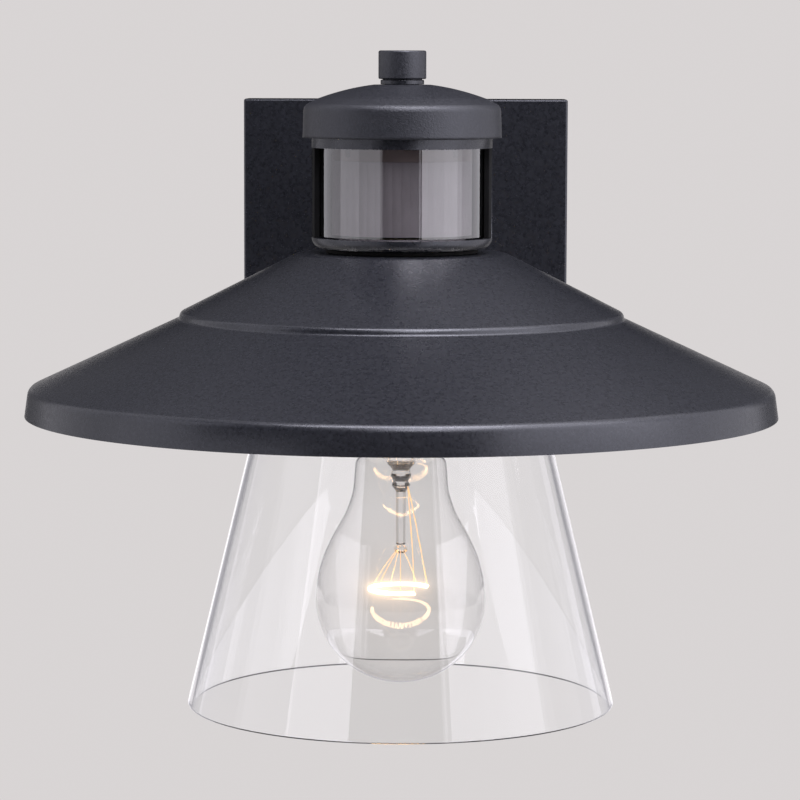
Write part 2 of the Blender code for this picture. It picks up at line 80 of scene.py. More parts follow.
FILAMENT_Z = (FILAMENT_LOW.z + FILAMENT_HIGH.z) / 2
FILAMENT_R = 11.0
FILAMENT_START, FILAMENT_SPAN = 30.0, 267.0  # degrees from +X, open towards the right
ARM_Z = (ARM_LOW.z + ARM_HIGH.z) / 2
WINDOW_LOW_Z = HEAD_LOW.z + 3.9
WINDOW_HIGH_Z = HEAD_HIGH.z - 6.5


# ---------------------------------------------------------------- materials

NOISE_LOW, NOISE_HIGH = 0.3, 0.7  # a noise texture stays mostly between these


class Finish:
    """A Principled material whose colour, roughness and normal come from noise."""

    def __init__(self, name):
        self.material = bpy.data.materials.new(name)
        self.material.use_nodes = True
        self.tree = self.material.node_tree
        self.shader = self.tree.nodes["Principled BSDF"]
        self.coordinates = self.add("ShaderNodeTexCoord").outputs["Object"]
        self.height = None

    def add(self, kind):
        return self.tree.nodes.new(kind)

    def link(self, output, socket):
        self.tree.links.new(output, socket)

    def sockets(self, **values):
        for key, value in values.items():
            self.shader.inputs[key.replace("_", " ")].default_value = value

    def noise(self, scale, detail=2.0, rough=0.5, stretch=(1.0, 1.0, 1.0)):
        mapping = self.add("ShaderNodeMapping")
        mapping.inputs["Scale"].default_value = stretch
        self.link(self.coordinates, mapping.inputs["Vector"])
        made = self.add("ShaderNodeTexNoise")
        made.inputs["Scale"].default_value = scale
        made.inputs["Detail"].default_value = detail
        made.inputs["Roughness"].default_value = rough
        self.link(mapping.outputs["Vector"], made.inputs["Vector"])
        return made.outputs["Fac"]

    def ranged(self, factor, low, high):
        made = self.add("ShaderNodeMapRange")
        made.inputs["From Min"].default_value = NOISE_LOW
        made.inputs["From Max"].default_value = NOISE_HIGH
        made.inputs["To Min"].default_value = low
        made.inputs["To Max"].default_value = high
        self.link(factor, made.inputs["Value"])
        return made.outputs["Result"]

    def colour(self, dark, light, scale, detail=3.0):
        ramp = self.add("ShaderNodeValToRGB")
        ramp.color_ramp.elements[0].position = NOISE_LOW
        ramp.color_ramp.elements[0].color = (*dark, 1.0)
        ramp.color_ramp.elements[1].position = NOISE_HIGH
        ramp.color_ramp.elements[1].color = (*light, 1.0)
        self.link(self.noise(scale, detail), ramp.inputs["Fac"])
        self.link(ramp.outputs["Color"], self.shader.inputs["Base Color"])

    def roughness(self, low, high, scale):
        value = self.ranged(self.noise(scale, 3.0), low, high)
        self.link(value, self.shader.inputs["Roughness"])

    def bump(self, factor, distance, strength):
        """Adds a layer of relief of the given depth, in millimetres."""
        made = self.add("ShaderNodeBump")
        made.inputs["Strength"].default_value = strength
        made.inputs["Distance"].default_value = distance * MM
        self.link(factor, made.inputs["Height"])
        if self.height is not None:
            self.link(self.height, made.inputs["Normal"])
        self.height = made.outputs["Normal"]
        self.link(self.height, self.shader.inputs["Normal"])


def powder_coat(name, roughness, grain, relief):
    """Black paint with a sandy grain: grain is its scale and relief its depth in millimetres."""
    made = Finish(name)
    made.colour((0.005, 0.0054, 0.0072), (0.011, 0.0118, 0.0155), grain, detail=2.0)
    made.roughness(roughness - 0.05, roughness + 0.05, 700.0)
    made.bump(made.noise(14.0, 2.0), 0.06, 0.2)
    made.bump(made.noise(grain, 2.0, 0.6), relief, 0.55)
    made.sockets(Specular_IOR_Level=0.5, Specular_Tint=(0.90, 0.92, 1.0, 1.0))
    return made.material


def moulded(name, dark, light, roughness, specular=0.5):
    """Plastic, porcelain or foam, from a mould."""
    made = Finish(name)
    made.colour(dark, light, 90.0)
    made.roughness(roughness - 0.05, roughness + 0.05, 160.0)
    made.bump(made.noise(2800.0, 1.0), 0.012, 0.4)
    made.sockets(Specular_IOR_Level=specular)
    return made.material


def rubber():
    made = Finish("rubber")
    # Near black: black rubber, made darker still as painted shade in the gap between the sensor
    # housing and the shade, where the gasket shows.
    made.colour((0.003, 0.003, 0.003), (0.006, 0.006, 0.006), 90.0)
    made.roughness(0.85, 0.95, 160.0)
    made.bump(made.noise(1800.0, 1.0), 0.02, 0.4)
    made.sockets(Specular_IOR_Level=0.1)
    return made.material


def metal(name, dark, light, roughness):
    made = Finish(name)
    made.sockets(Metallic=1.0)
    made.colour(dark, light, 220.0)
    made.roughness(roughness - 0.07, roughness + 0.08, 420.0)
    made.bump(made.noise(900.0), 0.01, 0.5)
    return made.material


def clear_glass(name, waviness, tint):
    made = Finish(name)
    made.sockets(Transmission_Weight=1.0, Roughness=0.0, IOR=1.47)
    made.colour([0.99 * value for value in tint], tint, 40.0)
    made.bump(made.noise(14.0, 0.0, 0.4, (1.0, 1.0, 0.35)), waviness, 0.2)
    return made.material


def smoked_lens():
    made = Finish("smoked_lens")
    made.sockets(Transmission_Weight=1.0, Roughness=0.02, IOR=1.55)
    made.sockets(Coat_Weight=1.0, Coat_Roughness=0.02, Coat_IOR=1.7)
    made.colour((0.325, 0.31, 0.32), (0.355, 0.34, 0.35), 120.0)
    made.bump(made.noise(26.0, 1.0, 0.4, (1.0, 1.0, 0.5)), 0.18, 0.35)
    return made.material


def milky_lens():
    made = Finish("milky_lens")
    made.sockets(Transmission_Weight=0.25, IOR=1.45)
    made.colour((0.37, 0.355, 0.37), (0.42, 0.405, 0.42), 60.0)
    made.roughness(0.5, 0.6, 300.0)
    return made.material


def circuit_board():
    made = Finish("circuit_board")
    brick = made.add("ShaderNodeTexBrick")
    brick.inputs["Scale"].default_value = 260.0
    brick.inputs["Mortar Size"].default_value = 0.06
    brick.inputs["Color1"].default_value = (0.030, 0.055, 0.035, 1.0)
    brick.inputs["Color2"].default_value = (0.038, 0.070, 0.042, 1.0)
    brick.inputs["Mortar"].default_value = (0.09, 0.12, 0.07, 1.0)
    made.link(made.coordinates, brick.inputs["Vector"])
    made.link(brick.outputs["Color"], made.shader.inputs["Base Color"])
    made.roughness(0.35, 0.5, 500.0)
    made.bump(brick.outputs["Fac"], 0.02, 0.5)
    return made.material


def glowing(name, colour, strength):
    made = Finish(name)
    made.colour((0.5, 0.4, 0.3), (0.6, 0.5, 0.4), 600.0)
    made.sockets(Emission_Color=(*colour, 1.0), Emission_Strength=strength)
    return made.material


POWDER = powder_coat("powder_coat", 0.29, 1150.0, 0.045)
CAST_POWDER = powder_coat("cast_powder_coat", 0.44, 1500.0, 0.22)
# Near black: the posts' black plastic, made darker still as painted shade for the recess at the
# window's sides.
POST_BLACK_AND_SHADE = moulded("post_black", (0.002, 0.002, 0.0024), (0.004, 0.004, 0.0046), 0.7, 0.1)
BULB_GLASS = clear_glass("bulb_glass", 0.02, (0.998, 0.996, 0.994))
FRAME_PLASTIC = moulded("frame_plastic", (0.30, 0.25, 0.235), (0.37, 0.31, 0.29), 0.5)
# Painted light: the supports and leads glow orange to stand for the filament's light glinting on
# them.
WIRE_PAINTED_GLOW = glowing("warm_wire", (1.0, 0.50, 0.14), 1.1)
SLOTS = {
    "black_paint": POWDER,
    "black_plastic": moulded("black_plastic", (0.012, 0.012, 0.013), (0.02, 0.02, 0.021), 0.45),
    "smoked_lens": smoked_lens(),
    "milky_lens": milky_lens(),
    "clear_glass": clear_glass("clear_glass", 0.03, (0.995, 0.998, 0.996)),
    "zinc": metal("zinc", (0.50, 0.51, 0.53), (0.66, 0.67, 0.69), 0.36),
    "brass": metal("brass", (0.66, 0.46, 0.20), (0.80, 0.60, 0.30), 0.30),
    "nickel": metal("nickel", (0.62, 0.60, 0.57), (0.76, 0.74, 0.71), 0.24),
    "porcelain": moulded("porcelain", (0.76, 0.75, 0.72), (0.83, 0.82, 0.79), 0.22),
    "rubber": rubber(),
    "foam": moulded("foam", (0.03, 0.03, 0.03), (0.06, 0.06, 0.06), 0.9),
    "circuit_board": circuit_board(),
    "component_black": moulded("component_black", (0.02, 0.02, 0.02), (0.03, 0.03, 0.03), 0.4),
    "component_blue": moulded("component_blue", (0.03, 0.08, 0.28), (0.05, 0.12, 0.36), 0.35),
    "white_plastic": moulded("white_plastic", (0.74, 0.74, 0.72), (0.82, 0.82, 0.80), 0.42),
    "green_screw": metal("green_screw", (0.04, 0.22, 0.08), (0.07, 0.34, 0.13), 0.35),
    "black_wire": moulded("black_wire", (0.015, 0.015, 0.015), (0.025, 0.025, 0.025), 0.5),
    "white_wire": moulded("white_wire", (0.74, 0.74, 0.72), (0.82, 0.82, 0.80), 0.5),
    "hot_filament": glowing("hot_filament", (1.0, 0.66, 0.34), 420.0),
    "lamp_insulator": moulded("lamp_insulator", (0.010, 0.010, 0.014), (0.02, 0.02, 0.026), 0.12),
}


def dress_frame():
    """Gives each CAD node that still shows the material of its slot."""
    for row in frame["record"]["subparts"]:
        obj = frame["nodes"][row["node"]]
        obj.data.materials.clear()
        obj.data.materials.append(SLOTS[row["material_slot"]])


# ---------------------------------------------------------------- shape helpers

FILLET_TURN = math.radians(11.0)  # the largest turn between two points of a fillet
LEAST_MITRE = 0.3  # keeps a sharp corner of a sheet from running far inwards
WELD = 0.002 * MM


def rounded(corners, closed=False):
    """Outline points (radius, height) from corners (radius, height, fillet radius)."""
    points = []
    last = len(corners) - 1
    for i, (r, z, fillet) in enumerate(corners):
        here = Vector((r, z))
        if fillet == 0.0 or (not closed and i in (0, last)):
            points.append(here)
            continue
        back = Vector(corners[i - 1][:2]) - here
        on = Vector(corners[(i + 1) % len(corners)][:2]) - here
        half = back.angle(on) / 2
        reach = min(fillet / math.tan(half), 0.48 * back.length, 0.48 * on.length)
        radius = reach * math.tan(half)
        back.normalize()
        on.normalize()
        centre = here + (back + on).normalized() * (radius / math.sin(half))
        start, end = here + back * reach - centre, here + on * reach - centre
        turn = math.atan2(start.cross(end), start.dot(end))
        steps = max(2, math.ceil(abs(turn) / FILLET_TURN))
        for k in range(steps + 1):
            points.append(centre + Matrix.Rotation(turn * k / steps, 2) @ start)
    return points


def sheet(outer, wall):
    """A closed outline: the outer points, and the same points moved in by the wall."""
    inner = []
    for i, here in enumerate(outer):
        steps = []
        if i > 0:
            steps.append((here - outer[i - 1]).normalized())
        if i < len(outer) - 1:
            steps.append((outer[i + 1] - here).normalized())
        normals = [Vector((step.y, -step.x)) for step in steps]
        mean = sum(normals, Vector((0.0, 0.0))).normalized()
        mitre = max(mean.dot(normals[0]), LEAST_MITRE)
        inner.append(here + mean * (wall / mitre))
    return outer + inner[::-1]


def finish_mesh(shape, name, material, at=ON_AXIS, smooth=True):
    mesh = bpy.data.meshes.new(name)
    shape.to_mesh(mesh)
    shape.free()
    mesh.materials.append(material)
    for face in mesh.polygons:
        face.use_smooth = smooth
    obj = bpy.data.objects.new(name, mesh)
    obj.location = [value * MM for value in at]
    bpy.context.scene.collection.objects.link(obj)
    return obj


def belong(obj, body, slot, *nodes):
    """Puts the piece on its body, in place of its CAD nodes."""
    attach(obj, body)
    if nodes:
        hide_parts(*nodes)


def even_normals(obj):
    weighted = obj.modifiers.new("Normals", "WEIGHTED_NORMAL")
    weighted.keep_sharp = True
    return obj


def turned(name, outline, material, closed=True, steps=160, sweep=360.0, middle=-90.0):
    """Spins an outline of (radius, height) points about the lantern's axis.

    A sweep under 360 degrees is centred on the direction middle, in degrees from +X.
    """
    shape = bmesh.new()
    verts = [shape.verts.new((r * MM, 0.0, z * MM)) for r, z in outline]
    edges = [shape.edges.new(pair) for pair in zip(verts, verts[1:])]
    if closed:
        edges.append(shape.edges.new((verts[-1], verts[0])))
    full = sweep == 360.0
    start = Matrix.Rotation(math.radians(middle - sweep / 2), 3, "Z")
    if not full:
        bmesh.ops.rotate(shape, verts=verts, cent=(0, 0, 0), matrix=start)
    bmesh.ops.spin(
        shape,
        geom=verts + edges,
        axis=(0, 0, 1),
        cent=(0, 0, 0),
        steps=steps,
        angle=math.radians(sweep),
        use_merge=full,
    )
    bmesh.ops.remove_doubles(shape, verts=shape.verts, dist=WELD)
    if not full:
        bmesh.ops.holes_fill(shape, edges=[e for e in shape.edges if e.is_boundary])
    bmesh.ops.recalc_face_normals(shape, faces=shape.faces)
    return even_normals(finish_mesh(shape, name, material))


def box_piece(name, low, high, bevel, material, segments=3):
    """A box between two corners, in millimetres, with rounded edges."""
    shape = bmesh.new()
    bmesh.ops.create_cube(shape, size=MM)
    size, centre = Vector(high) - Vector(low), (Vector(high) + Vector(low)) / 2
    bmesh.ops.scale(shape, vec=size, verts=shape.verts)
    if bevel:
        bmesh.ops.bevel(
            shape,
            geom=shape.edges[:],
            offset=bevel * MM,
            segments=segments,
            affect="EDGES",
            profile=0.5,
        )
    return even_normals(finish_mesh(shape, name, material, centre))


def as_mesh(obj):
    """The object with its modifiers applied, or its curve made a mesh."""
    graph = bpy.context.evaluated_depsgraph_get()
    mesh = bpy.data.meshes.new_from_object(obj.evaluated_get(graph), depsgraph=graph)
    made = bpy.data.objects.new(obj.name + "_mesh", mesh)
    made.matrix_world = obj.matrix_world.copy()
    bpy.context.scene.collection.objects.link(made)
    name = obj.name
    bpy.data.objects.remove(obj)
    made.name = name
    return made


def wire(name, points, radius, material):
    """A thin round wire through points, in millimetres from the foot of the axis."""
    curve = bpy.data.curves.new(name, "CURVE")
    curve.dimensions = "3D"
    curve.bevel_depth = radius * MM
    curve.bevel_resolution = 1
    curve.use_fill_caps = True
    spline = curve.splines.new("POLY")
    spline.points.add(len(points) - 1)
    for point, place in zip(spline.points, points):
        point.co = (*(value * MM for value in place), 1.0)
    curve.materials.append(material)
    obj = bpy.data.objects.new(name, curve)
    obj.location = [value * MM for value in ON_AXIS]
    bpy.context.scene.collection.objects.link(obj)
    return as_mesh(obj)


def carve(obj, cutters, operation="DIFFERENCE"):
    """Applies Booleans with the cutters, and removes them."""
    for cutter in cutters:
        boolean = obj.modifiers.new("Carve", "BOOLEAN")
        boolean.operation = operation
        boolean.solver = "EXACT"
        boolean.object = cutter
    bpy.context.view_layer.update()
    made = as_mesh(obj)
    for cutter in cutters:
        bpy.data.objects.remove(cutter)
    return made


def drill(radius, low, high, at):
    """A cylinder cutter along Y. Low and high run from at towards the front, in millimetres."""
    shape = bmesh.new()
    bmesh.ops.create_cone(
        shape,
        cap_ends=True,
        segments=48,
        radius1=radius * MM,
        radius2=radius * MM,
        depth=(high - low) * MM,
    )
    bmesh.ops.translate(shape, verts=shape.verts, vec=(0, 0, (low + high) / 2 * MM))
    turn = Matrix.Rotation(math.radians(90.0), 3, "X")
    bmesh.ops.rotate(shape, verts=shape.verts, cent=(0, 0, 0), matrix=turn)
    return finish_mesh(shape, "cutter", POWDER, at)


# ---------------------------------------------------------------- painted metal

NIPPLE_HOLE_R = 5.6
CABLE_HOLE_R = 5.5
GROMMET_HOLE_R = 6.0
SCREW_HOLE_R = 1.9
SCREW_X = 11.2  # the arm's screws, either side of its middle
STUD_HOLE_R = 2.6
STUD_Z = 50.0  # the mounting studs, above and below the plate's middle
SEAT_GAP = 0.02  # between two pieces that sit on each other


def make_shade():
    top, rim_r, rim_z = SHADE_HIGH.z, SHADE_HIGH.x, SHADE_LOW.z
    wall = 1.0
    outer = rounded(
        [
            (NIPPLE_HOLE_R, top, 0.0),
            (36.8, top, 6.0),
            (78.5, top - 21.1, 2.2),
            (78.9, top - 23.1, 1.3),
            (132.0, top - 47.7, 3.4),
            (rim_r, rim_z, 0.0),
        ]
    )
    shade = turned("shade_metal", sheet(outer, wall), POWDER, steps=256)
    shade.visible_glossy = False  # so that the glass under it reflects the studio instead
    belong(shade, "lantern", "black_paint", "shade")


def make_cap():
    top, bottom, rim_r = CAP_HIGH.z, CAP_LOW.z, CAP_HIGH.x
    wall, dome_r = 1.5, 80.0
    apex = top + 0.56
    flat_r, edge_r, points = 10.1, 29.6, 10
    dome = []
    for i in range(points + 1):
        r = flat_r + (edge_r - flat_r) * i / points
        dome.append((r, apex - r * r / (2 * dome_r), 0.0))
    shoulder_r = rim_r - 0.4
    corners = [
        (3.3, top, 0.0),
        *dome,
        (shoulder_r, apex - 0.5 - shoulder_r**2 / (2 * dome_r), 3.0),
        (rim_r - 0.12, bottom + 1.0, 1.0),
        (rim_r, bottom, 0.0),
    ]
    cap = turned("cap_metal", sheet(rounded(corners), wall), CAST_POWDER, steps=192)
    belong(cap, "cap", "black_paint", "sensor_cap")


def make_knob():
    low, high, r = KNOB_LOW.z, KNOB_HIGH.z, KNOB_HIGH.x
    seat, neck_r = WASHER_HIGH.z + SEAT_GAP, r - 1.4
    bore_r, bore_top = 2.9, high - 2.0
    corners = [
        (0.0, high, 0.0),
        (r, high, 0.7),
        (r, low, 0.5),
        (neck_r, low, 0.1),
        (neck_r, seat, 0.1),
        (bore_r, seat, 0.0),
        (bore_r, bore_top, 0.0),
        (0.0, bore_top, 0.0),
    ]
    knob = turned("knob_metal", rounded(corners), CAST_POWDER, closed=False, steps=96)
    belong(knob, "knob", "black_paint", "finial_knob")
    low, high, r = CAP_HIGH.z + SEAT_GAP, WASHER_HIGH.z, WASHER_HIGH.x
    corners = [(r, high, 0.3), (r, low, 0.2), (3.0, low, 0.0), (3.0, high, 0.0)]
    washer = turned("washer_metal", rounded(corners, closed=True), POWDER, steps=96)
    belong(washer, "cap", "black_paint", "finial_washer")


def make_housing():
    low, high = HEAD_LOW.z, HEAD_HIGH.z
    r = HEAD_HIGH.x
    bore, inside = r - 2.0, low + 2.5
    corners = [
        (r, high, 0.3),
        (r, low, 3.8),
        (CABLE_HOLE_R, low, 0.0),
        (CABLE_HOLE_R, inside, 0.0),
        (bore, inside, 0.5),
        (bore, high, 0.3),
    ]
    housing = turned("housing_metal", rounded(corners, closed=True), POWDER, steps=192)
    half_pad = 17.0, 15.0  # the flat pad that the arm is screwed to
    pad_low = (-half_pad[0], AXIS_Y + 25.0, ARM_Z - half_pad[1])
    pad_high = (half_pad[0], HEAD_HIGH.y, ARM_Z + half_pad[1])
    pad = box_piece("pad", pad_low, pad_high, 1.0, POWDER)
    housing = carve(housing, [pad], "UNION")
    half_w, depth = 40.0, 60.0  # past the outside of the ring
    window_low = (-half_w, AXIS_Y - depth, WINDOW_LOW_Z)
    window_high = (half_w, AXIS_Y - 1.0, WINDOW_HIGH_Z)
    window = box_piece("window", window_low, window_high, 0.0, POWDER)
    through_pad = -40.0, -20.0
    holes = [drill(CABLE_HOLE_R, *through_pad, (0.0, AXIS_Y, ARM_Z))]
    for x in (-SCREW_X, SCREW_X):
        holes.append(drill(SCREW_HOLE_R, *through_pad, (x, AXIS_Y, ARM_Z)))
    housing = carve(housing, [window, *holes])
    edges = housing.modifiers.new("Edges", "BEVEL")
    edges.width = 0.25 * MM
    edges.segments = 2
    edges.limit_method = "ANGLE"
    edges.angle_limit = math.radians(50.0)
    edges.harden_normals = True
    belong(housing, "lantern", "black_paint", "sensor_housing")


def make_plate():
    """A folded box, open at the back, with holes for the cable, the studs and the arm."""
    wall = 2.0
    plate = box_piece("plate_metal", PLATE_LOW, PLATE_HIGH, 0.9, POWDER, segments=4)
    inside_low = PLATE_LOW + Vector((wall, wall, wall))
    inside_high = PLATE_HIGH + Vector((-wall, wall + 4.0, -wall))
    cavity = box_piece("cavity", inside_low, inside_high, 1.0, POWDER)
    inside_y = PLATE_LOW.y + wall
    through = -3.0, 5.0
    holes = [drill(GROMMET_HOLE_R, *through, (0.0, inside_y, ARM_Z))]
    for z in (STUD_Z, -STUD_Z):
        holes.append(drill(STUD_HOLE_R, *through, (0.0, inside_y, z)))
    for x in (-SCREW_X, SCREW_X):
        holes.append(drill(SCREW_HOLE_R, *through, (x, inside_y, ARM_Z)))
    plate = carve(plate, [cavity, *holes])
    belong(even_normals(plate), "lantern", "black_paint", "back_plate")


def make_arm():
    arm = box_piece("arm_metal", ARM_LOW, ARM_HIGH, 3.0, POWDER, segments=6)
    half_w, half_h, past, depth = 7.5, 9.5, 2.0, 14.0
    channel_low = (-half_w, ARM_LOW.y - past, ARM_Z - half_h)
    channel_high = (half_w, ARM_HIGH.y + past, ARM_Z + half_h)
    channel = box_piece("channel", channel_low, channel_high, 0.0, POWDER)
    holes = []
    for x in (-SCREW_X, SCREW_X):
        holes.append(drill(SCREW_HOLE_R, -past, depth, (x, ARM_HIGH.y, ARM_Z)))
        holes.append(drill(SCREW_HOLE_R, -depth, past, (x, ARM_LOW.y, ARM_Z)))
    arm = carve(arm, [channel, *holes])
    belong(even_normals(arm), "lantern", "black_paint", "arm")


def make_socket_cup():
    top, bottom, r = CUP_HIGH.z, CUP_LOW.z, CUP_HIGH.x
    wall = 1.2
    corners = [(NIPPLE_HOLE_R, top, 0.0), (r, top, 2.2), (r, bottom, 0.0)]
    cup = turned("socket_cup_metal", sheet(rounded(corners), wall), POWDER, steps=96)
    belong(cup, "lantern", "black_paint", "socket_cup")


# ---------------------------------------------------------------- lenses and glass


def make_lens():
    """The smoked lens, and the black posts between its ends and the window's sides. The posts are
    black plastic, and their near-black colour is also painted shade for the recess there.
    """
    low, high = LENS_LOW.z, LENS_HIGH.z
    r = LENS_HIGH.x
    foot_r, inner_r = r - 0.5, r - 2.0
    corners = [
        (r, high, 0.3),
        (r, low + 1.6, 0.3),
        (foot_r, low + 1.0, 0.3),
        (foot_r, low, 0.2),
        (inner_r, low, 0.2),
        (inner_r, high, 0.2),
    ]
    outline = rounded(corners, closed=True)
    lens = turned("lens_smoked", outline, SLOTS["smoked_lens"], sweep=204.0)
    lens.visible_shadow = False
    belong(lens, "lantern", "smoked_lens", "sensor_lens")
    near, far = r + 0.35, HEAD_HIGH.x - 0.25
    bottom, top = WINDOW_LOW_Z + 0.05, WINDOW_HIGH_Z - 0.05
    corners = [(far, top, 0.3), (far, bottom, 0.3), (near, bottom, 0.3), (near, top, 0.3)]
    outline = rounded(corners, closed=True)
    for label, middle in (("left", -171.5), ("right", -8.5)):
        name = f"lens_post_{label}"
        # Painted shade: these near-black posts also stand in for the shade at the window's sides.
        post = turned(name, outline, POST_BLACK_AND_SHADE, steps=24, sweep=13.0, middle=middle)
        belong(post, "lantern", "lamp_insulator", "sensor_lens")


def make_fresnel():
    """The milky lens behind the window, ribbed from top to bottom, and the frame over it."""
    low, high = extent("fresnel_lens")
    r, wall, relief = high.x, 0.7, 0.22
    ribs, per_rib, sweep = 24, 6, 172.0
    shape = bmesh.new()
    grid = []
    for z in (low.z, high.z + 2.0):
        for depth in (0.0, wall):
            row = []
            for i in range(ribs * per_rib + 1):
                turn = math.radians(-90.0 - sweep / 2 + sweep * i / (ribs * per_rib))
                wave = relief * abs(math.sin(math.pi * i / per_rib)) if depth == 0.0 else 0.0
                reach = (r - 0.25 + wave - depth) * MM
                place = (reach * math.cos(turn), reach * math.sin(turn), z * MM)
                row.append(shape.verts.new(place))
            grid.append(row)
    low_out, low_in, high_out, high_in = grid
    sides = ((low_out, high_out), (high_out, high_in), (high_in, low_in), (low_in, low_out))
    for a, b in sides:
        for i in range(ribs * per_rib):
            shape.faces.new((a[i], a[i + 1], b[i + 1], b[i]))
    for i in (0, -1):
        shape.faces.new((low_out[i], high_out[i], high_in[i], low_in[i]))
    bmesh.ops.recalc_face_normals(shape, faces=shape.faces)
    lens = finish_mesh(shape, "fresnel_ribbed", SLOTS["milky_lens"], smooth=False)
    lens.visible_shadow = False
    belong(lens, "lantern", "milky_lens", "fresnel_lens")
    bottom, top, inner_r = high.z + 2.1, WINDOW_HIGH_Z + 0.9, r - 1.2
    corners = [(r, top, 0.2), (r, bottom, 0.3), (inner_r, bottom, 0.2), (inner_r, top, 0.2)]
    outline = rounded(corners, closed=True)
    frame_ring = turned("fresnel_frame", outline, FRAME_PLASTIC, steps=96, sweep=sweep)
    belong(frame_ring, "lantern", "black_plastic")


def make_glass():
    top, bottom, rim_r = GLASS_HIGH.z, GLASS_LOW.z, GLASS_HIGH.x
    hole_r, wall, slope = 20.6, 2.0, math.atan2(29.5, 121.6)
    across, down = wall * math.cos(slope), wall * math.sin(slope)
    rim_z = bottom + down
    top_r = rim_r - math.tan(slope) * (top - rim_z)
    inner_top = top - wall
    inner_r = rim_r - across - math.tan(slope) * (inner_top - bottom)
    corners = [
        (hole_r, top, 0.5),
        (top_r, top, 4.5),
        (rim_r, rim_z, 0.9),
        (rim_r - across, bottom, 0.9),
        (inner_r, inner_top, 2.6),
        (hole_r, inner_top, 0.5),
    ]
    outline = rounded(corners, closed=True)
    glass = turned("glass_cone", outline, SLOTS["clear_glass"], steps=256)
    glass.visible_shadow = False
    belong(glass, "lantern", "clear_glass", "glass_shade")


# ---------------------------------------------------------------- bulb


def make_bulb_glass():
    r, bottom, top = BULB_HIGH.x, BULB_LOW.z, BULB_HIGH.z
    centre = bottom + r
    neck = rounded(
        [
            (12.2, top, 0.0),
            (12.6, top - 2.5, 0.6),
            (16.3, top - 6.5, 4.0),
            (17.1, top - 17.6, 20.0),
            (19.6, top - 24.6, 22.0),
            (24.6, top - 33.4, 30.0),
            (27.7, top - 39.8, 28.0),
            (29.9, top - 47.6, 40.0),
            (r, centre, 0.0),
        ]
    )
    globe, steps, wall = [], 40, 0.4
    for i in range(1, steps + 1):
        turn = math.radians(-90.0 * i / steps)
        globe.append(Vector((max(r * math.cos(turn), 0.0), centre + r * math.sin(turn))))
    outer = neck + globe
    inner = sheet(outer, wall)[len(outer):]
    inner[0] = Vector((0.0, bottom + wall))
    bulb = turned("bulb_envelope", inner + outer, BULB_GLASS, closed=False, steps=128)
    bulb.visible_shadow = False
    belong(bulb, "bulb", "clear_glass", "bulb_glass")


def make_bulb_stem():
    top, bottom = STEM_HIGH.z, STEM_LOW.z
    corners = [
        (0.0, top, 0.0),
        (9.0, top, 0.3),
        (8.2, top - 1.6, 1.0),
        (3.0, top - 7.0, 2.0),
        (3.7, top - 9.5, 1.0),
        (2.6, top - 11.4, 0.6),
        (3.4, top - 12.8, 0.6),
        (1.8, top - 15.0, 1.0),
        (1.7, bottom, 0.4),
        (0.0, bottom, 0.0),
    ]
    stem = turned("bulb_stem_glass", rounded(corners), BULB_GLASS, closed=False, steps=64)
    stem.visible_shadow = False
    belong(stem, "bulb", "clear_glass", "bulb_stem")


def on_ring(share, r=FILAMENT_R):
    """A point on the filament's ring: share 0 is its rear end and 1 its front end."""
    turn = math.radians(FILAMENT_START + FILAMENT_SPAN * share)
    return r * math.cos(turn), r * math.sin(turn)


def make_filament():
    turns, coil_r, per_turn = 78, 0.62, 12
    points = []
    for i in range(turns * per_turn + 1):
        share = i / (turns * per_turn)
        spin = 2 * math.pi * i / per_turn
        x, y = on_ring(share, FILAMENT_R + coil_r * math.cos(spin))
        points.append((x, y, FILAMENT_Z + coil_r * math.sin(spin)))
    coil = wire("filament_coil", points, 0.13, SLOTS["hot_filament"])
    belong(coil, "bulb", "hot_filament", "filament")


def make_supports(button_z):
    """The wires that hold the filament: each runs from the button to an eye round the coil."""
    count, hub, eye_r = 5, 0.12, 0.85
    for i in range(count):
        x, y = on_ring((i + 0.5) / count)
        route = []
        for k in range(9):
            t = k / 8
            reach = hub + 0.86 * t
            bow = math.sin(math.pi * t) * 0.8
            route.append((x * reach, y * reach, button_z + (FILAMENT_Z - button_z) * t + bow))
        for k in range(7):
            spin = math.radians(60.0 + 50.0 * k)
            reach = 1 + eye_r / FILAMENT_R * math.cos(spin)
            route.append((x * reach, y * reach, FILAMENT_Z + eye_r * math.sin(spin)))
        # Painted glow: the support wire emits the filament's warm light, as if lit by it.
        support = wire(f"filament_support_{i + 1}", route, 0.13, WIRE_PAINTED_GLOW)
        belong(support, "bulb", "nickel")


def make_bulb_wires():
    button_z = STEM_LOW.z - 2.0
    outline = rounded(
        [
            (0.0, button_z + 1.5, 0.0),
            (2.3, button_z + 1.5, 0.9),
            (2.3, button_z - 1.0, 0.9),
            (0.0, button_z - 1.0, 0.0),
        ]
    )
    button = turned("bulb_button", outline, BULB_GLASS, closed=False, steps=48)
    button.visible_shadow = False
    belong(button, "bulb", "clear_glass", "filament_supports")
    make_supports(button_z)
    for place, share, side_y in (("rear", 0.0, 2.2), ("front", 1.0, -2.2)):
        end_x, end_y = on_ring(share)
        start = Vector((2.4, side_y, STEM_HIGH.z - 13.0))
        end = Vector((end_x, end_y, FILAMENT_Z + 0.3))
        middle = start.lerp(end, 0.45) + Vector((0.5, 0.0, -0.6))
        route = []
        for k in range(15):
            t = k / 14
            route.append(start * (1 - t) ** 2 + middle * 2 * t * (1 - t) + end * t * t)
        # Painted glow: the lead wire emits the filament's warm light, as if lit by it.
        lead = wire(f"bulb_lead_wire_{place}", route, 0.17, WIRE_PAINTED_GLOW)
        belong(lead, "bulb", "nickel", f"bulb_lead_{place}")


